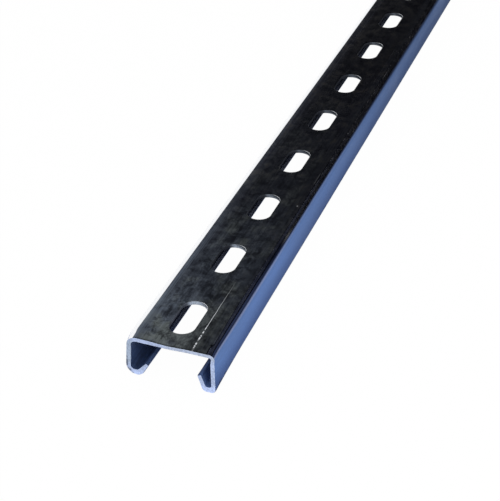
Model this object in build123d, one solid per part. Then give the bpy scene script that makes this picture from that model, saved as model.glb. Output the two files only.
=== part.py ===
from build123d import *
import os
from math import cos, radians, sin

# Slotted strut channel, lying on the floor with its open side down.
# It is one strip of steel, roll formed to a C, with both edges turned in as hooks,
# sawn square at its ends and punched with a row of slots along its web.
# X runs across the channel, Y along it and Z up, in millimetres.
# The origin is on the floor, under the middle of the channel.
# The end that the slots are counted from is at -Y.

# Channel
LENGTH = 1000.0
WIDTH = 41.3            # over both flanges
HEIGHT = 20.6           # from the hooks to the top of the web
THICKNESS = 2.0         # of the strip, the same all round
WEB_BEND = 1.25         # inside radius between web and flange
HOOK_BEND = 2.0         # inside radius of the turned-in edges
LIP_HEIGHT = 7.3        # floor to the top of a lip, inside the hook
LIP_LEAN = 24.0         # degrees that a lip leans from upright, towards the middle
LIP_ROUNDING = 0.4      # on the slit edges of the strip

# Slots
SLOT_WIDTH = 12.5
SLOT_LENGTH = 26.0      # over its round ends
SLOT_PITCH = 50.0
FIRST_SLOT = 22.0       # sawn end to the middle of the first slot
LAST_MARGIN = 8.0       # least metal left between the last slot and the far end
PUNCH_TRAVEL = 1.0      # how far the punch passes each face of the web


def lip_length():
    """Straight part of a lip, beyond its bend."""
    bend_end = THICKNESS + HOOK_BEND - HOOK_BEND * sin(radians(LIP_LEAN))
    return (LIP_HEIGHT - bend_end) / cos(radians(LIP_LEAN))


def strip_line(depth):
    """Right half of the strip, as a line this deep under its outer face."""
    web = Line((0, HEIGHT - depth), (WIDTH / 2 - THICKNESS - WEB_BEND, HEIGHT - depth))
    web_bend = JernArc(web @ 1, web % 1, THICKNESS + WEB_BEND - depth, -90)
    flange = Line(web_bend @ 1, (WIDTH / 2 - depth, THICKNESS + HOOK_BEND))
    hook = JernArc(flange @ 1, flange % 1, THICKNESS + HOOK_BEND - depth, LIP_LEAN - 180)
    lip = Line(hook @ 1, hook @ 1 + lip_length() * (hook % 1))
    return Curve() + [web, web_bend, flange, hook, lip], lip @ 1


def half_section():
    """Right half of the section, with its slit edge rounded."""
    outer, outer_tip = strip_line(0)
    inner, inner_tip = strip_line(THICKNESS)
    slit_edge = Line(outer_tip, inner_tip)
    middle = Line((0, HEIGHT), (0, HEIGHT - THICKNESS))
    half = make_face(outer + inner + slit_edge + middle)
    corners = half.vertices().sort_by_distance(slit_edge @ 0.5)[:2]
    return fillet(corners, LIP_ROUNDING)


def channel():
    """Both halves of the section, drawn out to the whole length."""
    half = half_section()
    return extrude(Plane.XZ * (half + mirror(half, about=Plane.YZ)), LENGTH / 2, both=True)


def slot_centres():
    """Places of the slots along Y, counted from the sawn end."""
    room = LENGTH - FIRST_SLOT - SLOT_LENGTH / 2 - LAST_MARGIN
    count = int(room // SLOT_PITCH) + 1
    return [FIRST_SLOT - LENGTH / 2 + SLOT_PITCH * i for i in range(count)]


def slot_punch():
    """Solid that is cut out of the web for one slot at the origin."""
    outline = SlotOverall(SLOT_LENGTH, SLOT_WIDTH, rotation=90)
    bottom = HEIGHT - THICKNESS - PUNCH_TRAVEL
    return extrude(Pos(0, 0, bottom) * outline, THICKNESS + 2 * PUNCH_TRAVEL)


def strut_channel():
    """The channel with its row of slots."""
    punch = slot_punch()
    return channel() - [Pos(0, y, 0) * punch for y in slot_centres()]


os.makedirs("parts", exist_ok=True)
export_step(strut_channel(), "parts/strut_channel.step")
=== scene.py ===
"""Slotted strut channel: the finished skin of the steel, and the floor, lamps and camera that show it."""

from collections import namedtuple
from math import ceil, cos, radians, sin

import bmesh
import bpy
from bpy.props import FloatProperty, FloatVectorProperty, PointerProperty
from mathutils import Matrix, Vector, noise


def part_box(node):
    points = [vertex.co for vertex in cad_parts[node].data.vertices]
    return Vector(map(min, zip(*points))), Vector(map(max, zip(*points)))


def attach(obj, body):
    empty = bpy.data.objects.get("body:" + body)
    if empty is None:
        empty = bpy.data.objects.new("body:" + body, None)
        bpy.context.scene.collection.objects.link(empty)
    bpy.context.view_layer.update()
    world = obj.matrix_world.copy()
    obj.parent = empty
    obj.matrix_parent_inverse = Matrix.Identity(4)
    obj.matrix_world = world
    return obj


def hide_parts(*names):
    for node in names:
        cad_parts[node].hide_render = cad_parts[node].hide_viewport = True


bl_info = {
    "name": "Slotted strut channel",
    "version": (1, 0, 0),
    "blender": (4, 5, 0),
    "location": "View3D > Sidebar > Strut",
    "description": "Builds the finished skin of a slotted strut channel and the stage that it is shown on",
    "category": "Add Mesh",
}

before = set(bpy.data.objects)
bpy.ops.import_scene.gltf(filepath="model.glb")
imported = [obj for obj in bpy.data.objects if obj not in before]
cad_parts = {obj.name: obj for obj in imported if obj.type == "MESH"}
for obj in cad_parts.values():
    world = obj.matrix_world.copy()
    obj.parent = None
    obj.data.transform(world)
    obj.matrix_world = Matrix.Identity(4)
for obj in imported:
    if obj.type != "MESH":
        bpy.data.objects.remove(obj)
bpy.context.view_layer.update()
cad_low, cad_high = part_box("strut_channel")

# The channel lies along Y, open side down, in metres.
SAWN_END = cad_low.y    # the end that the slots are counted from
FAR_END = cad_high.y
HALF_WIDTH = cad_high.x
HEIGHT = cad_high.z
MM = 0.001

# How finely the skin is divided
BEND_STEPS = 10             # along the bend between web and flange
BORDER_STEPS = (6, 5)       # steps of the left and right bend where the blue flange begins
FLANGE_STOPS = (0.03, 0.27, 0.5, 0.73, 0.97)    # shares of the flat of a flange
HOOK_STEPS = 7              # on each of a hook's two bends
LIP_STOPS = (0.1, 0.5, 1.0)     # shares of the straight of a lip
TIP_STEPS = 3               # on each rounded corner of a slit edge
COLUMN_STOPS = (0.01, *(i / 12 for i in range(1, 12)), 0.99)    # shares of the web's width
CORNER_STEPS = 6            # on each eighth of a turn round a slot's end
STRAIGHT_STEPS = 4          # along a slot's straight side
WEB_STOPS = (0.97, 0.55, 0.2, 0.06)     # shares of the way from a slot's rim to its cell's border
ROLLOVER_STEPS = 4          # round the edge that the punch drew in
FINE_STEP = 0.45 * MM       # along the sawn edges
ACROSS_STEPS = 5            # over the thickness of a sawn face

# Rows at a sawn edge: how far back they lie, and their share of its wear
WEAR_ROWS = ((0.9 * MM, 0.0), (0.35 * MM, 0.25), (0.1 * MM, 0.7), (0.0, 1.0))

# Roughness. Rates are lumps of noise in a metre of a face, or in a millimetre of a sawn edge.
WAVE_RATES = (40, 9)            # round the section and along it
MARK_RATE, MARK_DEPTH = 900, 0.05 * MM  # on a sawn face
DULL_RATE, DULL_LEAST, DULL_MORE = 0.5, 0.4, 1.2    # of an outer sawn edge, least and what noise adds
WEB_SPARED = 0.8                # share of that dulling which the web is spared
BURR_RATE, BURR_HEIGHT, BURR_CUT = 0.33, 2.4, 0.65  # lumps of burr, and what their foot loses
TOOTH_RATE, TOOTH_HEIGHT = 1.1, 0.15    # finer teeth over all of it
THIN_LEAST = 0.25               # share of the thinning that the web's left border has
DRAWN_DEPTH = 0.7               # depth of a slot's drawn-in edge, over its width
TORN_LEDGE = 0.7                # share of the tear right under the clean part

# Where the wear of a sawn edge changes over on its inner face, in millimetres
WEB_FROM = (14.5, 18.5)         # height
FLANGE_FROM = (14.5, 16.5)      # distance from the middle
THINNING_FROM = (-12.0, -2.0)   # x

SLOTS_CHANGE = (35, 70)         # millimetres from the sawn end, over which the slots' look changes

# The reflected room. Heights are the sine of the angle above the floor.
LOW_WALL = (0.10, 0.03)         # down to the white all round
HIGH_CEILING = (0.52, 0.61)     # from the low to the high part of the ceiling
WALL_EDGE = radians(2.5)        # turn over which a wall's top edge blurs

# The camera, worked out from the reference picture
CAMERA_PLACE = (0.18303, -0.91623, 0.35366)
CAMERA_DIP, CAMERA_TURN = radians(32.257), radians(19.464)
CAMERA_LENS = 96.32             # millimetres

# Faces of the skin, in the order of its materials
WEB, FLANGE, INSIDE, PUNCHED, SAWN = range(5)

# What describes one side of the strip's section
SIDE_SIZES = {
    "top": "Floor to the top of the web, at its border",
    "bend": "Outside radius between web and flange",
    "shoulder": "Middle of the channel to the flange's outside, at its top",
    "flange": "Middle of the channel to the flange's outside, at its foot",
    "foot": "Floor to the underside of the hook",
    "sole": "Thickness of the hook's bottom",
    "hook": "Outside radius between flange and hook",
    "flat": "Level stretch under the hook",
    "curl": "Outside radius between hook and lip",
    "bore": "Inside radius between flange and hook",
    "inner_flat": "Level stretch inside the hook",
    "inner_curl": "Inside radius between hook and lip",
    "tip": "Floor to the outer corner of the lip",
}
SIDE_TURNS = {
    "lean": "How far the lip's outer face leans to the middle",
    "splay": "How much further its inner face leans",
}
Side = namedtuple("Side", ("sign", *SIDE_SIZES, *SIDE_TURNS))


def size(name, millimetres, description):
    """A length that a user can change."""
    return FloatProperty(
        name=name, default=millimetres * MM, unit="LENGTH", precision=5, description=description
    )


def turn(name, degrees, description):
    """An angle that a user can change."""
    return FloatProperty(
        name=name, default=radians(degrees), subtype="ANGLE", description=description
    )


def share(name, value, description):
    """A number from 0 to 1 that a user can change."""
    return FloatProperty(
        name=name, default=value, min=0.0, max=1.0, subtype="FACTOR", description=description
    )


def colour(name, red, green, blue, description):
    """A linear colour that a user can change."""
    return FloatVectorProperty(
        name=name, default=(red, green, blue), subtype="COLOR", size=3, min=0.0, max=1.0,
        description=description,
    )


def side_group(name, words, **values):
    """A property group with the sizes of one side of the section, in millimetres and degrees."""
    fields = {field: size(field.replace("_", " ").capitalize(), values[field], text)
              for field, text in SIDE_SIZES.items()}
    fields |= {field: turn(field.capitalize(), values[field], text) for field, text in SIDE_TURNS.items()}
    return type(name, (bpy.types.PropertyGroup,), {"__doc__": words, "__annotations__": fields})


ALONG_THE_RUN = {"top": 20.6, "bend": 3.5, "shoulder": 20.65, "flange": 20.65, "foot": 0.0, "sole": 2.0,
                 "flat": 0.0, "inner_flat": 0.0, "splay": 0.0}
StrutLeft = side_group(
    "StrutLeft", "Left side of the section along the run.", **ALONG_THE_RUN,
    hook=4.25, curl=4.25, bore=2.25, inner_curl=2.25, tip=6.4, lean=33.0,
)
StrutRight = side_group(
    "StrutRight", "Right side of the section along the run.", **ALONG_THE_RUN,
    hook=3.7, curl=3.7, bore=1.7, inner_curl=1.7, tip=6.9, lean=18.0,
)
StrutLeftCut = side_group(
    "StrutLeftCut", "Left side of the section where it sprang at the sawn end.",
    top=20.6, bend=2.6, shoulder=19.95, flange=20.6, foot=1.1, sole=2.5, hook=5.0, flat=0.0, curl=3.8,
    bore=2.1, inner_flat=0.0, inner_curl=3.0, tip=7.2, lean=30.0, splay=12.0,
)
StrutRightCut = side_group(
    "StrutRightCut", "Right side of the section where it sprang at the sawn end.",
    top=19.9, bend=2.6, shoulder=20.4, flange=20.65, foot=0.0, sole=2.7, hook=2.0, flat=2.1, curl=2.5,
    bore=1.1, inner_flat=0.7, inner_curl=1.2, tip=7.8, lean=18.0, splay=0.5,
)


class StrutSection(bpy.types.PropertyGroup):
    """Sizes that both sides of the strip share."""

    thickness: size("Thickness", 2.0, "Thickness of the strip")
    tip_rounding: size("Tip rounding", 0.4, "Rounding on the slit edges of the strip")
    waviness: size("Waviness", 0.07, "How far the rolled faces wander inwards")


class StrutSlots(bpy.types.PropertyGroup):
    """Sizes of the punched slots."""

    width: size("Width", 11.8, "Width of a slot below its rounded top edge")
    length: size("Length", 25.3, "Length of a slot over its round ends, below that edge")
    pitch: size("Pitch", 50.0, "From one slot to the next")
    first: size("First slot", 21.8, "Sawn end to the middle of the first slot")
    last_margin: size("Last margin", 8.0, "Least metal left at the far end")
    rollover: size("Rollover", 0.3, "Rounding that the punch leaves on the top edge")
    sheared: share("Sheared", 0.5, "Share of the thickness that is cut clean")
    tear: size("Tear", 0.05, "How far the torn part of the wall opens out")


class StrutEnds(bpy.types.PropertyGroup):
    """How the strip sprang and burred where it was sawn."""

    spring_reach: size("Spring reach", 40.0, "How far from the sawn end the section is out of shape")
    drag_reach: size("Drag reach", 8.0, "How far from the end the blade bent the web and its left bend")
    crushing: size("Crushing", 1.9, "How much rounder the blade left the left bend")
    dish: size("Dish", 0.4, "How far the blade bent the middle of the web down")
    dish_middle: share("Dish, middle", 0.42, "Deepest place of that, as a share of the web's width")
    dish_spread: share("Dish, spread", 0.3, "How far it reaches each way, as a share of the width")
    thinning: size("Thinning", 0.45, "How much thinner the web's middle and right side are at the cut")
    swelling: size("Swelling", 0.28, "How much thicker the left flange is at the cut")
    edge_break: size("Edge break", 0.22, "Dulling of the outer sawn edge")
    burr: size("Burr", 0.38, "Most that the burr stands in from the inner edge")
    saw_band: size("Saw band", 3.0, "Length of finely divided skin at a sawn end")


class StrutFinish(bpy.types.PropertyGroup):
    """Colours of the steel."""

    # Web, dark: the web's dark scale, which also carries a painted dark reflection of the room.
    web_dark: colour("Web, dark", 0.0058, 0.0062, 0.0088, "Scale on most of the web")
    web_brown: colour("Web, brown", 0.0085, 0.0080, 0.0085, "Brownish patches of that scale")
    # Web, light and Web, cold colour a painted sheen on the web near the sawn end; Web, cold also colours
    # lighter lines along its borders.
    web_sheen: colour("Web, light", 0.100, 0.114, 0.118, "Rubbed scale near the sawn end")
    web_cold: colour("Web, cold", 0.073, 0.088, 0.114, "Bluish patches of the rubbed scale")
    burnished: colour("Burnished", 0.92, 0.93, 0.95, "Bends that the rollers polished")
    # Flange, upper and Flange, lower: blue that is partly the steel's own and partly a painted reflection
    # of a blue sky.
    flange_high: colour("Flange, upper", 0.122, 0.209, 0.448, "Blue flange below its bend")
    flange_low: colour("Flange, lower", 0.047, 0.076, 0.202, "Blue flange above its hook")
    inside_tone: colour("Inside", 0.053, 0.088, 0.195, "Inside of the channel near its end")
    # Inside, deep: painted light further into the channel, standing in for light from the floor.
    inside_painted_light: colour("Inside, deep", 0.17, 0.19, 0.25, "Inside of the channel further in")
    # Punched, clean: sheared steel, bright only where painted light falls on a slot's wall.
    punched_bright: colour("Punched, clean", 0.46, 0.53, 0.64, "Clean part of a slot's wall")
    # Punched, dark: painted shade on a slot's sides.
    punched_shade: colour("Punched, dark", 0.042, 0.046, 0.058, "Scale drawn down a slot's sides")
    # Punched, groove: a dark band under the top edge of the bright part.
    punched_band: colour("Punched, groove", 0.012, 0.013, 0.017, "Groove under the clean part's top edge")
    # Flange, rim: a painted highlight under the bend, strongest near the sawn end.
    flange_highlight: colour("Flange, rim", 0.265, 0.315, 0.510, "Paler strip under the bend, most near the end")
    # Flange, shade: painted shade on the bend where it turns down into the flange.
    flange_shade: colour("Flange, shade", 0.028, 0.038, 0.085, "Dark edge of the blued steel on the bend")
    # Flange, foot: painted shade low on the hook, where it turns under towards the floor.
    flange_foot: colour("Flange, foot", 0.008, 0.014, 0.045, "Ragged dark edge under the hook")
    sawn_tone: colour("Sawn", 0.42, 0.51, 0.74, "Sawn face")
    sawn_pale: colour("Sawn, web", 0.43, 0.50, 0.66, "Sawn face on the right of the web")
    sawn_low: colour("Sawn, hooks", 0.50, 0.61, 0.92, "Sawn face under the hooks")
    sawn_dull: colour("Sawn, dull", 0.36, 0.44, 0.58, "Sawn face of the left flange")
    sawn_speck: colour("Sawn, specks", 0.07, 0.09, 0.14, "Dark specks along its outer edge")
    # Bare steel: the bottom of a scratch, and also a painted highlight on the slots' rims.
    bare_steel_and_glint: colour("Bare steel", 0.85, 0.88, 0.93, "Bottom of a scratch")


class StrutStage(bpy.types.PropertyGroup):
    """Light and floor."""

    floor_size: size("Floor", 40000.0, "Side of the floor")
    floor_glow: share("Floor glow", 0.985, "Share of the floor's white that no shadow dims")
    room_level: share("Room level", 0.62, "Even light from all round")
    ceiling_low: colour("Ceiling, low", 0.0030, 0.0032, 0.0050, "Reflected room above its walls")
    ceiling_high: colour("Ceiling, high", 0.0180, 0.0210, 0.0370, "Reflected room overhead")
    left_wall: turn("Left wall", 35.5, "From overhead to the top of the bright wall on the left")
    right_wall: turn("Right wall", 84.0, "From overhead to the top of the bright wall on the right")


def ease(value):
    """Smooth step from 0 to 1."""
    value = min(max(value, 0.0), 1.0)
    return value * value * (3.0 - 2.0 * value)


def rise(value, low, high):
    """Smooth step from 0 at low to 1 at high."""
    return ease((value - low) / (high - low))


def between(a, b, part):
    """The number or vector that lies this part of the way from a to b."""
    return a + (b - a) * part


def wander(*place):
    """Smooth noise from 0 to 1. The last numbers of a place keep one use apart from another."""
    return 0.5 + 0.5 * noise.noise(Vector(place))


def near_end(y, reach):
    """1 at the sawn end, falling to 0 at this reach from it."""
    return max(0.0, 1.0 - (y - SAWN_END) / reach) ** 2


def angles(steps, sweep=radians(90), first=0):
    """Angles that divide a sweep evenly, from its start or a later step."""
    return [sweep * step / steps for step in range(first, steps + 1)]


def side_zones(side, count):
    """Zones of one side's outer faces, from the web's border to the lip. Side is 0 left or 1 right."""
    return [WEB] * BORDER_STEPS[side] + [FLANGE] * (count - 1 - BORDER_STEPS[side])


def hook_line(wall, bottom, first, flat, second, lean):
    """Points of a hook's face: round from a wall to its bottom, level for a stretch, and up to a lean."""
    points = []
    for angle in angles(HOOK_STEPS):
        points.append(Vector((wall - first * (1.0 - cos(angle)), bottom + first * (1.0 - sin(angle)))))
    heel = wall - first - flat
    for angle in angles(HOOK_STEPS, radians(90) - lean, first=1):
        points.append(Vector((heel - second * sin(angle), bottom + second * (1.0 - cos(angle)))))
    return points


class ChannelSkin:
    """Mesh of the channel, row by row along its length."""

    def __init__(self, scene):
        self.section = scene.strut_section
        self.slots = scene.strut_slots
        self.ends = scene.strut_ends
        self.shapes = (
            (-1.0, scene.strut_left, scene.strut_left_cut),
            (1.0, scene.strut_right, scene.strut_right_cut),
        )
        self.mesh = bmesh.new()
        self.known = {}

    def sides(self, y):
        """Shape of the left and right side of the strip at y."""
        if y not in self.known:
            self.known[y] = []
            sprung, dragged = near_end(y, self.ends.spring_reach), near_end(y, self.ends.drag_reach)
            for sign, true, cut in self.shapes:
                values = {}
                for name in (*SIDE_SIZES, *SIDE_TURNS):
                    part = dragged if name == "top" else sprung
                    values[name] = between(getattr(true, name), getattr(cut, name), part)
                if sign < 0.0:
                    values["bend"] += self.ends.crushing * dragged
                self.known[y].append(Side(sign=sign, **values))
        return self.known[y]

    def side_outline(self, side):
        """Outer and inner points of one side, from the border of the web to the lip."""
        thickness, bend = self.section.thickness, side.bend
        pairs = []
        centre = Vector((side.shoulder - bend, side.top - bend))
        for angle in angles(BEND_STEPS):
            way = Vector((sin(angle), cos(angle)))
            pairs.append((centre + bend * way, centre + (bend - thickness) * way))
        outer_low = side.foot + side.hook
        inner_low = side.foot + side.sole + side.bore
        for stop in FLANGE_STOPS:
            x = between(side.shoulder, side.flange, stop)
            outer = Vector((x, between(centre.y, outer_low, stop)))
            inner = Vector((x - thickness, between(centre.y, inner_low, stop)))
            pairs.append((outer, inner))
        outer = hook_line(side.flange, side.foot, side.hook, side.flat, side.curl, side.lean)
        inner = hook_line(side.flange - thickness, side.foot + side.sole, side.bore,
                          side.inner_flat, side.inner_curl, side.lean + side.splay)
        pairs += zip(outer, inner)
        return pairs + self.lip_outline(side, outer[-1], inner[-1])

    def lip_outline(self, side, outer, inner):
        """The straight of a lip and its rounded slit edge, on from the end of the hook."""
        rounding = self.section.tip_rounding
        along = Vector((-sin(side.lean), cos(side.lean)))
        across = Vector((cos(side.lean), sin(side.lean)))
        inner_along = Vector((-sin(side.lean + side.splay), cos(side.lean + side.splay)))
        length = (side.tip - outer.y) / cos(side.lean)
        inner_length = (outer + along * length - inner).cross(across) / inner_along.cross(across)
        pairs = []
        for stop in LIP_STOPS:
            pairs.append((outer + along * (length - rounding) * stop,
                          inner + inner_along * (inner_length - rounding) * stop))
        outer, inner = pairs[-1]
        for angle in angles(TIP_STEPS, first=1):
            forward = along * rounding * sin(angle)
            inward = across * rounding * (1.0 - cos(angle))
            pairs.append((outer + forward + inward, inner + forward - inward))
        return pairs

    def web_top(self, x, y):
        """Height of the web's upper face."""
        left, right = self.sides(y)
        start, end = left.bend - left.shoulder, right.shoulder - right.bend
        part = min(max((x - start) / (end - start), 0.0), 1.0)
        middle = ease(1.0 - abs(part - self.ends.dish_middle) / self.ends.dish_spread)
        sag = self.ends.dish * middle * near_end(y, self.ends.drag_reach)
        return between(left.top, right.top, part) - sag

    def vertex(self, x, y, z):
        """A new vertex, moved in by the slow waves that rolling leaves."""
        wave = self.section.waviness
        round_it, along = WAVE_RATES
        sideways = wave * wander(z * round_it, y * along, 3.0) * x / HALF_WIDTH
        down = wave * wander(x * round_it, y * along, 7.0) * z / HEIGHT
        return self.mesh.verts.new((x - sideways, y, z - down))

    def face(self, corners, zone):
        """A new face that belongs to one zone of the finish."""
        made = self.mesh.faces.new(corners)
        made.material_index = zone
        made.smooth = True

    def ribbon(self, first, second, zone, closed=False):
        """Faces between two lines of vertices, all of one zone or each of its own."""
        count = len(first)
        for here in range(count if closed else count - 1):
            after = (here + 1) % count
            own = zone[here] if isinstance(zone, list) else zone
            self.face((first[here], first[after], second[after], second[here]), own)

    def side_row(self, y):
        """Outer and inner vertices of both sides at y."""
        row = []
        for side in self.sides(y):
            surfaces = zip(*self.side_outline(side))
            row.append([[self.vertex(side.sign * at.x, y, at.y) for at in points] for points in surfaces])
        return row

    def web_line(self, y, surface):
        """Places across the web at y, as (x, z), between its left and its right border."""
        left, right = self.sides(y)
        start, end = left.bend - left.shoulder, right.shoulder - right.bend
        stops = [between(start, end, stop) for stop in COLUMN_STOPS]
        return [(x, self.web_top(x, y) - surface * self.section.thickness) for x in stops]

    def web_row(self, y, sides):
        """Outer and inner vertices across the web at y, with the borders of the sides as their ends."""
        rows = []
        for surface in (0, 1):
            row = [self.vertex(x, y, z) for x, z in self.web_line(y, surface)]
            rows.append([sides[0][surface][0], *row, sides[1][surface][0]])
        return rows

    def side_ribbons(self, first, second):
        """Faces of both sides between two rows."""
        for side in (0, 1):
            self.ribbon(first[side][0], second[side][0], side_zones(side, len(first[side][0])))
            self.ribbon(first[side][1], second[side][1], INSIDE)
            outer, inner = first[side][0][-1], first[side][1][-1]
            next_outer, next_inner = second[side][0][-1], second[side][1][-1]
            self.face((outer, inner, next_inner, next_outer), INSIDE)

    def slot_centres(self):
        """Places of the slots along Y, counted from the sawn end."""
        slots = self.slots
        room = FAR_END - SAWN_END - slots.first - slots.length / 2 - slots.last_margin
        return [SAWN_END + slots.first + slots.pitch * i for i in range(int(room // slots.pitch) + 1)]

    def cell_rows(self, start, centre, end):
        """Places of the rows beside one slot."""
        straight = (self.slots.length - self.slots.width) / 2
        stops = [between(start, centre - straight, i / CORNER_STEPS) for i in range(CORNER_STEPS)]
        stops += [centre + straight * (2 * i / STRAIGHT_STEPS - 1) for i in range(STRAIGHT_STEPS)]
        return stops + [between(centre + straight, end, i / CORNER_STEPS) for i in range(CORNER_STEPS + 1)]

    def rim(self, centre, offset):
        """Outline of a slot, this far outside its wall, counter-clockwise from its near left corner."""
        radius = self.slots.width / 2 + offset
        straight = (self.slots.length - self.slots.width) / 2
        eighth = radians(45) / CORNER_STEPS
        columns = len(COLUMN_STOPS) + 1
        quarter = radians(90) / columns

        def arc(end, start, step, count):
            turns = [start + step * i for i in range(count)]
            return [(radius * cos(a), centre + end * straight + radius * sin(a)) for a in turns]

        def line(sign):
            return [
                (sign * radius, centre + sign * straight * (2 * i / STRAIGHT_STEPS - 1))
                for i in range(STRAIGHT_STEPS)
            ]

        points = []
        for end, half_turn in ((-1, radians(225)), (1, radians(45))):
            points += arc(end, half_turn, quarter, columns)
            points += arc(end, half_turn + radians(90), eighth, CORNER_STEPS)
            points += line(-end) + arc(-end, half_turn + radians(135), eighth, CORNER_STEPS)
        return points

    def wall_profile(self):
        """How far outside the slot's wall, and how deep under the web, each loop of the wall lies."""
        thickness, rollover, tear = self.section.thickness, self.slots.rollover, self.slots.tear
        loops = []
        for angle in angles(ROLLOVER_STEPS):
            loops.append((rollover * (1.0 - sin(angle)), DRAWN_DEPTH * rollover * (1.0 - cos(angle))))
        clean = thickness * self.slots.sheared
        loops += [(0.0, clean), (tear * TORN_LEDGE, clean + tear)]
        return loops + [(tear, thickness - tear), (tear * 2, thickness)]

    def slot_cell(self, centre, border):
        """Web round one slot, from the border of its cell down through the slot and out again below."""
        profile = self.wall_profile()
        rings = [(border[0], stop, *profile[0]) for stop in WEB_STOPS]
        rings += [(border[0], 0.0, *place) for place in profile]
        rings += [(border[1], stop, *profile[-1]) for stop in reversed(WEB_STOPS)]
        loops = [border[0], *(self.web_loop(centre, *ring) for ring in rings), border[1]]
        above, below = len(WEB_STOPS) + ROLLOVER_STEPS + 1, len(WEB_STOPS) + 1
        zones = [WEB] * above + [PUNCHED] * (len(loops) - 1 - above - below) + [INSIDE] * below
        for first, second, zone in zip(loops, loops[1:], zones):
            self.ribbon(first, second, zone, closed=True)

    def web_loop(self, centre, border, stop, offset, depth):
        """A loop this part of the way from a slot's rim to the border of its cell."""
        loop = []
        for (x, y), vertex in zip(self.rim(centre, offset), border):
            x, y = between(x, vertex.co.x, stop), between(y, vertex.co.y, stop)
            loop.append(self.vertex(x, y, self.web_top(x, y) - depth))
        return loop

    def body(self):
        """Everything but the sawn bands; returns the first and last row of it."""
        centres = self.slot_centres()
        half = self.slots.pitch / 2
        start = SAWN_END + self.ends.saw_band
        sides = self.side_row(start)
        web = self.web_row(start, sides)
        first = (sides, web)
        for centre in centres:
            end = FAR_END - self.ends.saw_band if centre == centres[-1] else centre + half
            stops = self.cell_rows(start, centre, end)
            rows = [sides] + [self.side_row(y) for y in stops[1:]]
            for here, after in zip(rows, rows[1:]):
                self.side_ribbons(here, after)
            next_web = self.web_row(end, rows[-1])
            border = []
            for surface in (0, 1):
                left = [row[0][surface][0] for row in rows]
                right = [row[1][surface][0] for row in rows]
                border.append(web[surface][:-1] + right[:-1] + next_web[surface][:0:-1] + left[:0:-1])
            self.slot_cell(centre, border)
            start, sides, web = end, rows[-1], next_web
        return first, (sides, web)

    def whole_line(self, sides, web, surface):
        """One surface of the strip at a row, from lip to lip."""
        left, right = sides[0][surface], sides[1][surface]
        return left[:0:-1] + web[surface] + right[1:]

    def end_line(self, y, surface):
        """Places of the whole line's vertices at y, as (x, z)."""
        left, right = (self.side_outline(side) for side in self.sides(y))
        mirrored = [Vector((-pair[surface].x, pair[surface].y)) for pair in reversed(left)]
        web = [Vector(place) for place in self.web_line(y, surface)]
        return mirrored + web + [pair[surface] for pair in right]

    def sawn_band(self, row, end, way):
        """Finely divided skin from a row to a sawn end, and the sawn face. Way is +1 towards the body."""
        sides, web = row
        lines = [self.end_line(end, surface) for surface in (0, 1)]
        counts = [max(1, ceil((b - a).length / FINE_STEP)) for a, b in zip(lines[0], lines[0][1:])]
        fine = [self.refine(line, counts) for line in lines]
        left, right = (side_zones(side, len(sides[side][0])) for side in (0, 1))
        outside = left[::-1] + [WEB] * (len(COLUMN_STOPS) + 1) + right
        last = []
        for surface, zones in ((0, outside), (1, [INSIDE] * len(outside))):
            fine_zones = [zone for zone, count in zip(zones, counts) for _ in range(count)]
            rows = []
            for back, pull in WEAR_ROWS:
                y = end + way * back
                points = [self.worn(fine, index, surface, pull) for index in range(len(fine[0]))]
                rows.append([self.vertex(point.x, y, point.y) for point in points])
            self.step_down(self.whole_line(sides, web, surface), rows[0], counts, zones)
            for here, after in zip(rows, rows[1:]):
                self.ribbon(here, after, fine_zones)
            last.append(rows)
        for tip in (0, -1):
            outer = [self.whole_line(sides, web, 0)[tip]] + [row[tip] for row in last[0]]
            inner = [self.whole_line(sides, web, 1)[tip]] + [row[tip] for row in last[1]]
            self.ribbon(outer, inner, INSIDE)
        self.sawn_face(last[0][-1], last[1][-1], end, way)

    def refine(self, line, counts):
        """The line's points with more between them, and whole numbers of them for each stretch."""
        points = []
        for a, b, count in zip(line, line[1:], counts):
            points += [between(a, b, i / count) for i in range(count)]
        return points + [line[-1]]

    def worn(self, fine, index, surface, pull):
        """A point near a sawn edge: dulled outside; inside the web is thinned, the sides swell and burr."""
        outer, inner = fine[0][index], fine[1][index]
        across = (inner - outer).normalized()
        place = index * FINE_STEP / MM
        web = rise(inner.y / MM, *WEB_FROM)
        if surface == 0:
            dulling = DULL_LEAST + DULL_MORE * wander(place * DULL_RATE, 1.0, 2.0)
            return outer + across * pull * (self.ends.edge_break * dulling * (1.0 - WEB_SPARED * web))
        lumps = max(0.0, noise.noise(Vector((place * BURR_RATE, 11.0, 5.0))) * BURR_HEIGHT - BURR_CUT)
        teeth = TOOTH_HEIGHT * wander(place * TOOTH_RATE, 4.0, 9.0)
        flange = rise(abs(inner.x) / MM, *FLANGE_FROM) * (1.0 - web)
        swelling = self.ends.swelling if inner.x < 0.0 else 0.0
        more = flange * (swelling + self.ends.burr * min(lumps + teeth, 1.0))
        thinned = web * self.ends.thinning * between(THIN_LEAST, 1.0, rise(inner.x / MM, *THINNING_FROM))
        return inner + across * pull * (more - thinned)

    def step_down(self, coarse, fine, counts, zones):
        """Faces from a coarse line to a fine one."""
        begin = 0
        for index, count in enumerate(counts):
            near = fine[begin:begin + count + 1]
            self.face([coarse[index], coarse[index + 1]] + near[::-1], zones[index])
            begin += count

    def sawn_face(self, outer, inner, end, way):
        """The sawn face, a little rough."""
        lines = [outer]
        for step in range(1, ACROSS_STEPS):
            line = []
            for a, b in zip(outer, inner):
                point = between(a.co, b.co, step / ACROSS_STEPS)
                rough = MARK_DEPTH * wander(point.x * MARK_RATE, point.z * MARK_RATE, 2.0)
                line.append(self.mesh.verts.new((point.x, end + way * rough, point.z)))
            lines.append(line)
        lines.append(inner)
        for here, after in zip(lines, lines[1:]):
            self.ribbon(here, after, SAWN)

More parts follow.
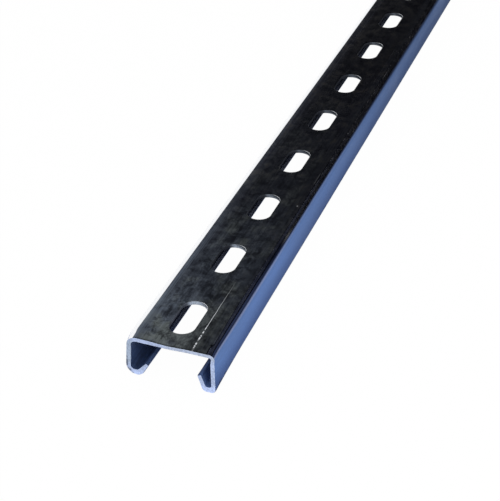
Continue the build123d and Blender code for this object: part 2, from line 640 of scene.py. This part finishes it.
    def build(self):
        """The whole mesh, with its hard edges marked."""
        first, last = self.body()
        self.sawn_band(first, SAWN_END, 1)
        self.sawn_band(last, FAR_END, -1)
        bmesh.ops.recalc_face_normals(self.mesh, faces=self.mesh.faces)
        for edge in self.mesh.edges:
            zones = {face.material_index for face in edge.link_faces}
            edge.smooth = not (SAWN in zones and len(zones) > 1 or zones == {PUNCHED, INSIDE})
        data = bpy.data.meshes.new("strut_channel_skin")
        self.mesh.to_mesh(data)
        self.mesh.free()
        return data


def sum_node(operation):
    """A method that adds the node for one kind of sum."""
    return lambda first, *others: first.finish.math(operation, first, *others)


class Number:
    """A number that nodes make. A sum on it adds the node for that sum."""

    __add__ = sum_node("ADD")
    __sub__ = sum_node("SUBTRACT")
    __mul__ = sum_node("MULTIPLY")
    __truediv__ = sum_node("DIVIDE")
    __pow__ = sum_node("POWER")
    __abs__ = sum_node("ABSOLUTE")
    most = sum_node("MAXIMUM")

    def __init__(self, finish, socket):
        self.finish = finish
        self.socket = socket

    def __rsub__(self, other):
        return self.finish.math("SUBTRACT", other, self)

    def clamped(self):
        """The number, kept between 0 and 1 by its node."""
        self.socket.node.use_clamp = True
        return self

    def ramp(self, low, high, start=0.0, end=1.0):
        """Start where this is below low, end where it is above high, and a smooth step between them."""
        made = self.finish.add("ShaderNodeMapRange", interpolation_type="SMOOTHSTEP")
        for name, value in (("Value", self), ("From Min", low), ("From Max", high),
                            ("To Min", start), ("To Max", end)):
            self.finish.feed(made.inputs[name], value)
        return Number(self.finish, made.outputs["Result"])

    def spread(self, least, most, low=0.3, high=0.7):
        """A number from least to most, over nearly all the values that noise takes."""
        return self.ramp(low, high, least, most)


class Finish:
    """Node tree of one material, with short ways to add and join its nodes."""

    def __init__(self, name):
        self.material = bpy.data.materials.new(name)
        self.material.use_nodes = True
        self.tree = self.material.node_tree
        self.shader = self.tree.nodes["Principled BSDF"]
        self.places = self.add("ShaderNodeTexCoord")

    def add(self, kind, **settings):
        """A new node, with settings such as operation."""
        made = self.tree.nodes.new(kind)
        for name, value in settings.items():
            setattr(made, name, value)
        return made

    def feed(self, socket, value):
        """Puts a number, colour or other node's output into a socket."""
        if isinstance(value, Number):
            value = value.socket
        if isinstance(value, bpy.types.NodeSocket):
            self.tree.links.new(value, socket)
        elif hasattr(value, "__len__") and socket.type == "RGBA":
            socket.default_value = (*value, 1.0)
        else:
            socket.default_value = value

    def math(self, operation, *values):
        """A sum on numbers."""
        made = self.add("ShaderNodeMath", operation=operation)
        for socket, value in zip(made.inputs, values):
            self.feed(socket, value)
        return Number(self, made.outputs[0])

    def split(self, vector):
        """The three numbers of a vector."""
        made = self.add("ShaderNodeSeparateXYZ")
        self.feed(made.inputs[0], vector)
        return [Number(self, socket) for socket in made.outputs]

    def stretch(self, x, y, z):
        """Places on the object, in millimetres divided by these lengths."""
        made = self.add("ShaderNodeVectorMath", operation="MULTIPLY")
        self.feed(made.inputs[0], self.places.outputs["Object"])
        made.inputs[1].default_value = (1 / (x * MM), 1 / (y * MM), 1 / (z * MM))
        return made.outputs[0]

    def place(self):
        """Where a point lies, in millimetres: its x, its distance from the sawn end and its height."""
        x, y, z = self.split(self.stretch(1, 1, 1))
        return x, y - SAWN_END / MM, z

    def clouds(self, x, y, z, detail=4.0, roughness=0.55, distortion=0.0):
        """Noise whose clouds measure about x by y by z millimetres."""
        made = self.add("ShaderNodeTexNoise")
        for name, value in (("Vector", self.stretch(x, y, z)), ("Scale", 1.0), ("Detail", detail),
                            ("Roughness", roughness), ("Distortion", distortion)):
            self.feed(made.inputs[name], value)
        return Number(self, made.outputs["Fac"])

    def blend(self, part, first, second, mode="MIX"):
        """A colour between two others."""
        made = self.add("ShaderNodeMix", data_type="RGBA", blend_type=mode)
        self.feed(made.inputs["Factor"], part)
        colours = [socket for socket in made.inputs if socket.type == "RGBA"]
        self.feed(colours[0], first)
        self.feed(colours[1], second)
        return [socket for socket in made.outputs if socket.type == "RGBA"][0]

    def shade(self, tone, value, low, high, start, end):
        """A colour times start where a value is below low, and times end where it is above high."""
        made = self.add("ShaderNodeVectorMath", operation="SCALE")
        self.feed(made.inputs[0], tone)
        self.feed(made.inputs["Scale"], value.ramp(low, high, start, end))
        return made.outputs[0]

    def vary(self, tone, cloud, darkest, lightest, low=0.3, high=0.7):
        """A colour times a number that follows noise."""
        return self.shade(tone, cloud, low, high, darkest, lightest)

    def finished(self, relief, depth, strength, **values):
        """The material, with its relief, and values for sockets, by their names with _ for spaces."""
        bump = self.add("ShaderNodeBump")
        values["Normal"] = bump.outputs[0]
        for name, value in (("Height", relief), ("Distance", depth * MM), ("Strength", strength)):
            self.feed(bump.inputs[name], value)
        for name, value in values.items():
            self.feed(self.shader.inputs[name.replace("_", " ")], value)
        return self.material


# In the finishes x, z, aside, depth and from_end are in millimetres. Level, across and along say how far
# a face looks up, to the right and away from the sawn end, from -1 to 1. Noise goes from 0 to 1.


def sheen_share(x, from_end, mottle, patches, grain):
    """How much of the web's scale is rubbed light: most of it near the sawn end and to the left."""
    near = from_end.ramp(-20, 170, 1, 0.09)
    further = from_end.ramp(180, 280, 1, 0.15)
    left = from_end.ramp(25, 45, 1, 0.62)
    right = from_end.ramp(10, 70, 0.24, 0.42)
    right_border = from_end.ramp(90, 130, 0.72, 0.3)
    sideways = x.ramp(-17, 15, left, right) * x.ramp(11.3, 13.3, 1, right_border)
    mottled = mottle.spread(0.3, 1.65, low=0.34, high=0.66)
    patched = patches.spread(0.65, 1.2, low=0.32, high=0.62)
    return (near * further * sideways * mottled * patched * grain.spread(0.8, 1.18)).clamped()


def pale_border_lines(made, x, from_end):
    """How strongly lighter lines run along both borders of the web, fading away from the sawn end."""
    lines = made.clouds(0.7, 160, 0.7, detail=2).ramp(0.42, 0.6)
    left = x.ramp(-12.2, -14) * from_end.ramp(60, 125, 0.74, 0.1)
    right = x.ramp(12.5, 13.5) * from_end.ramp(30, 120, 0.09, 0.04)
    return lines * left.most(right)


def web_tone(made, tones, x, from_end, mottle, grain, streaks):
    """Colour of the scale on the web, dark, and rubbed light in clouds."""
    patches = made.clouds(13, 19, 13, detail=3, roughness=0.6)
    # Painted sheen in clouds, lightest near the sawn end and to the left.
    patchy = made.blend(patches.ramp(0.4, 0.6), tones.web_cold, tones.web_sheen)
    scale = made.blend(mottle.ramp(0.5, 0.66), tones.web_dark, tones.web_brown)
    # Painted sheen: the scale is lighter towards the left.
    scale = made.shade(scale, x, -15.3, -9.5, 2, 1)
    scale = made.vary(scale, mottle, 0.82, 1.2, low=0.35, high=0.65)
    web = made.blend(sheen_share(x, from_end, mottle, patches, grain), scale, patchy)
    web = made.vary(web, streaks, 0.8, 1.22)
    # Painted light falloff: the web darkens further from the sawn end.
    web = made.shade(web, from_end, 180, 360, 1, 0.72)
    web = made.blend(pale_border_lines(made, x, from_end), web, tones.web_cold)
    # Painted highlight: the web is lighter beside each bend, on the right most near the sawn end.
    web = made.shade(web, x, -15.3, -16.1, 1, 1.4)
    web = made.shade(web, x, 16.6, 17.4, 1, from_end.ramp(5, 60, 2, 1))
    return made.shade(web, from_end, 0.2, 1.3, 0.4, 1)


def bend_tone(made, tones, x, level, shaded, mottle, streaks):
    """Colour of the bends, burnished, with the dark edge of the right flange's blue where it is blued."""
    lined = streaks.spread(0.6, 1.25, low=0.35, high=0.65)
    mottled = mottle.spread(0.75, 1.2, low=0.35, high=0.65)
    patchy = made.blend(x.ramp(0, 10), (1, 1, 1), lined * mottled)
    rolled = made.blend(1, patchy, tones.burnished, mode="MULTIPLY")
    return made.blend(shaded * level.ramp(0.93, 0.9), rolled, tones.flange_shade)


def web_finish(tones):
    """Dark scale on the web, lighter and cloudy near the sawn end, and burnished steel on the bends."""
    made = Finish("web_steel")
    x, from_end, _ = made.place()
    across, along, level = made.split(made.places.outputs["Normal"])
    mottle = made.clouds(4.5, 6.5, 4.5, detail=5, roughness=0.7, distortion=0.5)
    grain = made.clouds(0.8, 1.3, 0.8, detail=2)
    streaks = made.clouds(0.8, 60, 0.8, detail=3)

    scratch = scratch_mask(made, x, from_end).most(small_marks(x, from_end))
    web = web_tone(made, tones, x, from_end, mottle, grain, streaks)
    web = made.blend(scratch, web, tones.bare_steel_and_glint)
    # Painted highlight on the slots' rims where they face back from the far right.
    lit = slot_facing(across, along, from_end) * level.ramp(0.95, 0.78)
    lit = lit * across.ramp(0, -0.6, 0.08, 1)
    web = made.blend(lit, web, tones.bare_steel_and_glint)

    aside = abs(x)
    bend = level.ramp(0.9995, 0.9965) * aside.ramp(16.7, 17)
    # Painted shade on the right bend near the sawn end, where it also loses its shine.
    shaded = from_end.ramp(90, 110, 1, 0) * x.ramp(9, 10)
    most_dull = from_end.ramp(30, 90, 0.8, 0.2)
    dull = shaded * level.ramp(0.9, 0.8, 0, most_dull)
    polished = level.ramp(0.9998, 0.9992) * aside.ramp(16.3, 16.6) * (1 - dull)
    return made.finished(
        mottle * 0.6 + grain * 0.4 - scratch * 1.5, depth=0.01, strength=0.5,
        Base_Color=made.blend(bend, web, bend_tone(made, tones, x, level, shaded, mottle, streaks)),
        Metallic=polished,
        Roughness=mottle.spread(-0.03, 0.05) + 0.13,
        Specular_IOR_Level=0.03,
    )


def flange_finish(tones):
    """Blued steel on the flanges and round the hooks."""
    made = Finish("flange_steel")
    _, from_end, z = made.place()
    level = made.split(made.places.outputs["Normal"])[2]
    blotches = made.clouds(30, 45, 9, detail=4)
    streaks = made.clouds(0.8, 60, 0.8, detail=3)
    grain = made.clouds(0.9, 1.6, 0.9, detail=2)
    ragged = made.clouds(50, 3.5, 50, detail=3)

    tone = made.blend(z.ramp(1, 15), tones.flange_low, tones.flange_high)
    # Painted light falloff: the flange darkens away from the sawn end.
    tone = made.shade(tone, from_end, 0, 410, 1, 0.44)
    # Painted highlight: a paler strip under the bend, strongest near the sawn end.
    rim = level.ramp(0.22, 0.45) * from_end.ramp(30, 130, 0.85, 0.3)
    tone = made.blend(rim, tone, made.shade(tones.flange_highlight, from_end, 120, 400, 1, 0.5))
    # Painted shade on the bend, reaching further down away from the sawn end.
    border = level.ramp(from_end.ramp(140, 350, 0.52, 0.1), 0.66)
    tone = made.blend(border, tone, made.shade(tones.flange_shade, from_end, 120, 330, 1, 0.25))
    # Painted shade: a ragged dark edge low on the hook.
    foot = z + ragged.spread(-0.9, 0.9)
    tone = made.blend(foot.ramp(3.6, 2.2), tone, tones.flange_foot)
    tone = made.vary(tone, blotches, 0.88, 1.1)
    tone = made.vary(tone, streaks, 0.95, 1.05, low=0.25, high=0.75)
    tone = made.vary(tone, grain, 0.95, 1.04)
    return made.finished(
        streaks * 0.6 + grain * 0.4, depth=0.01, strength=0.5,
        Base_Color=tone,
        Metallic=0.55,
        Roughness=blotches.spread(0.36, 0.48),
        Specular_IOR_Level=0.1,
        Specular_Tint=(0.35, 0.5, 0.85),
    )


def scratch_mask(made, x, from_end):
    """A long scratch beside the first slot: dashes near the sawn end, then a thin line that fades."""
    start, slant, sway = 10.2, 0.003, 0.5
    middle = start - from_end * slant + (made.clouds(400, 9, 400, detail=1) - 0.5) * sway
    half_width = from_end.ramp(12, 20, 0.46, 0.16)
    line = (1 - abs(x - middle) / half_width).clamped()
    dashes = made.clouds(400, 2.8, 400, detail=2).ramp(0.46, 0.53, 0.08, 1)
    dashed = from_end.ramp(17, 19, 1, 0)
    broken = dashes * dashed + (1 - dashed)
    return (line * broken * from_end.ramp(16, 58, 1, 0)).clamped()


def small_marks(x, from_end):
    """A pale speck and a short faint streak by the right bend."""
    speck_x, speck_y = 15.5, 127.7
    streak_x, streak_y = 16.6, 157
    speck = ((x - speck_x) ** 2 + (from_end - speck_y) ** 2).ramp(0.24, 0.04, 0, 0.24)
    beside = abs(x - streak_x).ramp(0.3, 0.05, 0, 0.04)
    return speck.most(beside * abs(from_end - streak_y).ramp(7, 4))


def slot_facing(across, along, from_end):
    """1 where a slot's edge faces back from its far right, 0 where it faces any other way."""
    wider = from_end.ramp(*SLOTS_CHANGE, 0.35, 0)
    return (across * -0.6 + along * -0.8 + wider).ramp(0.25, 0.65)


def inside_finish(tones):
    """Dark steel on the inner faces and lips."""
    made = Finish("inside_steel")
    x, from_end, _ = made.place()
    blotches = made.clouds(9, 22, 9, detail=5, roughness=0.6)
    streaks = made.clouds(1.2, 70, 1.2, detail=3)

    tone = made.shade(tones.inside_tone, x, 5, 12, 1, 1.35)
    # Painted light: the inside turns paler further from the sawn end.
    tone = made.blend(from_end.ramp(15, 50), tone, tones.inside_painted_light)
    tone = made.vary(tone, blotches, 0.8, 1.25)
    tone = made.vary(tone, streaks, 0.85, 1.2)
    return made.finished(
        blotches + streaks, depth=0.02, strength=0.4,
        Base_Color=tone,
        Metallic=0.2,
        Roughness=blotches.spread(0.42, 0.55),
        Specular_IOR_Level=0.25,
    )


def punched_finish(tones):
    """Slot walls: bright at the round ends where the punch cut, dark with scale drawn down at the sides."""
    made = Finish("punched_steel")
    _, from_end, z = made.place()
    depth = HEIGHT / MM - z
    across, along, _ = made.split(made.places.outputs["Normal"])
    scores = made.clouds(0.35, 0.35, 8, detail=2)

    # Painted light on the walls that face back from the far right.
    clean = slot_facing(across, along, from_end) * scores.spread(0.8, 1)
    # Painted shade on the sides, lighter at the first slot.
    side = made.shade(tones.punched_shade, from_end, 30, 70, 2.4, 1)
    side = made.blend(clean, side, tones.punched_band)
    dark_band = depth.ramp(0.15, 0.4) * depth.ramp(1.25, 0.9)
    dark_band = dark_band * across.ramp(from_end.ramp(*SLOTS_CHANGE, -0.25, 0.6), -0.7)
    dark_band = dark_band * from_end.ramp(*SLOTS_CHANGE, 0.6, 0.95)
    # The painted light fades away from the sawn end.
    clean = clean * (1 - dark_band) * from_end.ramp(40, 190, 1, 0.3)
    tone = made.blend(clean, side, tones.punched_bright)
    tone = made.vary(tone, scores, 0.82, 1.12)
    return made.finished(
        scores, depth=0.02, strength=0.5,
        Base_Color=tone,
        Metallic=clean * 0.5,
        Roughness=scores.spread(0.3, 0.42),
        Specular_IOR_Level=0,
    )


def sawn_finish(tones):
    """Sawn faces: pale steel with the marks of the blade."""
    made = Finish("sawn_steel")
    x, _, z = made.place()
    marks = made.clouds(0.22, 30, 6, detail=2)
    specks = made.clouds(0.9, 0.9, 0.9, detail=3, roughness=0.6)

    pale = x.ramp(-5, 1) * z.ramp(16, 18)
    tone = made.blend(pale, tones.sawn_tone, tones.sawn_pale)
    tone = made.blend(z.ramp(4.5, 2.5), tone, tones.sawn_low)
    dull = z.ramp(5, 8) * z.ramp(19.5, 17.5) * x.ramp(-16, -17.5)
    tone = made.blend(dull, tone, tones.sawn_dull)
    outer_flange = x.ramp(-19.2, -19.8) * z.ramp(13, 9)
    heel = (x * -0.8 + z * -0.6).ramp(12.2, 12.8)
    speckled = outer_flange.most(heel) * specks.ramp(0.42, 0.54)
    tone = made.blend(speckled, tone, tones.sawn_speck)
    tone = made.vary(tone, marks, 0.93, 1.05)
    tone = made.vary(tone, specks, 0.8, 1.08, low=0.35, high=0.62)
    return made.finished(
        marks + specks, depth=0.03, strength=0.5,
        Base_Color=tone,
        Metallic=0.25,
        Roughness=specks.spread(0.38, 0.52),
    )


class STRUT_OT_channel(bpy.types.Operator):
    """Build the skin of the channel in place of its plain solid"""

    bl_idname = "strut.channel"
    bl_label = "Channel"
    bl_options = {"REGISTER", "UNDO"}

    def execute(self, context):
        scene = context.scene
        skin = ChannelSkin(scene)
        piece = bpy.data.objects.new("strut_channel_skin", skin.build())
        scene.collection.objects.link(piece)
        for finish in (web_finish, flange_finish, inside_finish, punched_finish, sawn_finish):
            piece.data.materials.append(finish(scene.strut_finish))
        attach(piece, "root")
        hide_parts("strut_channel")
        return {"FINISHED"}


def floor_finish(stage):
    """White floor whose own glow is seen by the camera and in reflections, with a faint shadow on it."""
    made = Finish("floor_white")
    tree = made.tree
    tree.nodes.remove(made.shader)
    seen = seen_rays(made)
    glow = made.add("ShaderNodeEmission")
    made.feed(glow.inputs["Color"], (1.0, 1.0, 1.0))
    made.feed(glow.inputs["Strength"], seen * stage.floor_glow)
    matt = made.add("ShaderNodeBsdfDiffuse")
    unseen, left = 0.8, 1.0 - stage.floor_glow
    made.feed(matt.inputs["Color"], made.blend(seen, (unseen,) * 3, (left,) * 3))
    both = made.add("ShaderNodeAddShader")
    made.feed(both.inputs[0], glow.outputs[0])
    made.feed(both.inputs[1], matt.outputs[0])
    made.feed(tree.nodes["Material Output"].inputs["Surface"], both.outputs[0])
    return made.material


def seen_rays(made):
    """1 for rays from the camera, mirrored or refracted, 0 for the light that a matt face gathers."""
    path = made.add("ShaderNodeLightPath")
    seen = made.math("MAXIMUM", path.outputs["Is Camera Ray"], path.outputs["Is Glossy Ray"])
    return seen.most(path.outputs["Is Transmission Ray"])


class Room(Finish):
    """Node tree of the world, made with the same short ways."""

    def __init__(self, world):
        world.use_nodes = True
        self.tree = world.node_tree
        self.backdrop = self.tree.nodes["Background"]
        self.places = self.add("ShaderNodeTexCoord")


def light_room(stage):
    """A room that gives an even light, and shows white walls and a dark ceiling in reflections."""
    world = bpy.data.worlds.new("room")
    bpy.context.scene.world = world
    room = Room(world)
    x, _, z = room.split(room.places.outputs["Generated"])
    tilt = room.math("ARCTAN2", x, z)
    left = tilt.ramp(WALL_EDGE - stage.left_wall, -stage.left_wall)
    right = tilt.ramp(stage.right_wall, stage.right_wall + 2 * WALL_EDGE)
    wall = left.most(right).most(z.ramp(*LOW_WALL))
    overhead = room.blend(z.ramp(*HIGH_CEILING), stage.ceiling_low, stage.ceiling_high)
    white = wall.most(room.add("ShaderNodeLightPath").outputs["Is Camera Ray"])
    look = room.blend(white, overhead, (1.0, 1.0, 1.0))
    level = room.blend(seen_rays(room), (stage.room_level,) * 3, look)
    room.feed(room.backdrop.inputs["Color"], level)
    room.feed(room.backdrop.inputs["Strength"], 1.0)


def softbox(name, place, aim, width, height, watts):
    """A soft rectangular lamp that the camera doesn't see."""
    lamp = bpy.data.lights.new(name, "AREA")
    lamp.shape = "RECTANGLE"
    lamp.size = width
    lamp.size_y = height
    lamp.energy = watts
    made = bpy.data.objects.new(name, lamp)
    made.location = place
    made.rotation_euler = (Vector(aim) - Vector(place)).to_track_quat("-Z", "Y").to_euler()
    made.visible_camera = False
    bpy.context.scene.collection.objects.link(made)
    return made


def photo_camera():
    """Camera at the reference picture's angle, worked out from the channel's vanishing lines."""
    data = bpy.data.cameras.new("camera")
    data.lens = CAMERA_LENS
    data.clip_start = 0.02
    data.clip_end = 100.0
    made = bpy.data.objects.new("camera", data)
    made.location = CAMERA_PLACE
    made.rotation_euler = (radians(90) - CAMERA_DIP, 0.0, CAMERA_TURN)
    bpy.context.scene.collection.objects.link(made)
    bpy.context.scene.camera = made


class STRUT_OT_stage(bpy.types.Operator):
    """Build the floor, the lamps and the camera"""

    bl_idname = "strut.stage"
    bl_label = "Stage"
    bl_options = {"REGISTER", "UNDO"}

    def execute(self, context):
        scene = context.scene
        stage = scene.strut_stage
        half = stage.floor_size / 2
        data = bpy.data.meshes.new("floor")
        corners = [(-half, -half, 0.0), (half, -half, 0.0), (half, half, 0.0), (-half, half, 0.0)]
        data.from_pydata(corners, [], [(0, 1, 2, 3)])
        floor = bpy.data.objects.new("floor", data)
        scene.collection.objects.link(floor)
        data.materials.append(floor_finish(stage))
        light_room(stage)
        softbox("softbox_front", place=(-0.3, -2.0, 1.5), aim=(0.0, -0.35, 0.0),
                width=1.6, height=1.2, watts=16.0)
        softbox("softbox_right", place=(0.75, -0.95, 0.45), aim=(0.0, -0.45, 0.0),
                width=0.6, height=0.5, watts=3.0)
        photo_camera()
        scene.view_settings.view_transform = "Standard"
        return {"FINISHED"}


class STRUT_PT_sidebar(bpy.types.Panel):
    """Sizes and colours, and the buttons that build from them"""

    bl_label = "Slotted strut"
    bl_idname = "STRUT_PT_sidebar"
    bl_space_type = "VIEW_3D"
    bl_region_type = "UI"
    bl_category = "Strut"

    def draw(self, context):
        layout = self.layout
        for attribute, group in GROUPS.items():
            box = layout.box()
            box.label(text=group.__doc__.rstrip("."))
            settings = getattr(context.scene, attribute)
            for name in group.__annotations__:
                box.prop(settings, name)
        for operator in OPERATORS:
            layout.operator(operator.bl_idname)


GROUPS = {
    "strut_section": StrutSection,
    "strut_left": StrutLeft,
    "strut_right": StrutRight,
    "strut_left_cut": StrutLeftCut,
    "strut_right_cut": StrutRightCut,
    "strut_slots": StrutSlots,
    "strut_ends": StrutEnds,
    "strut_finish": StrutFinish,
    "strut_stage": StrutStage,
}
OPERATORS = (STRUT_OT_channel, STRUT_OT_stage)


def register():
    for kind in (*GROUPS.values(), *OPERATORS, STRUT_PT_sidebar):
        bpy.utils.register_class(kind)
    for attribute, group in GROUPS.items():
        setattr(bpy.types.Scene, attribute, PointerProperty(type=group))


def unregister():
    for attribute in GROUPS:
        delattr(bpy.types.Scene, attribute)
    for kind in reversed((*GROUPS.values(), *OPERATORS, STRUT_PT_sidebar)):
        bpy.utils.unregister_class(kind)


def main():
    register()
    bpy.ops.strut.channel()
    bpy.ops.strut.stage()


if __name__ == "__main__":
    main()
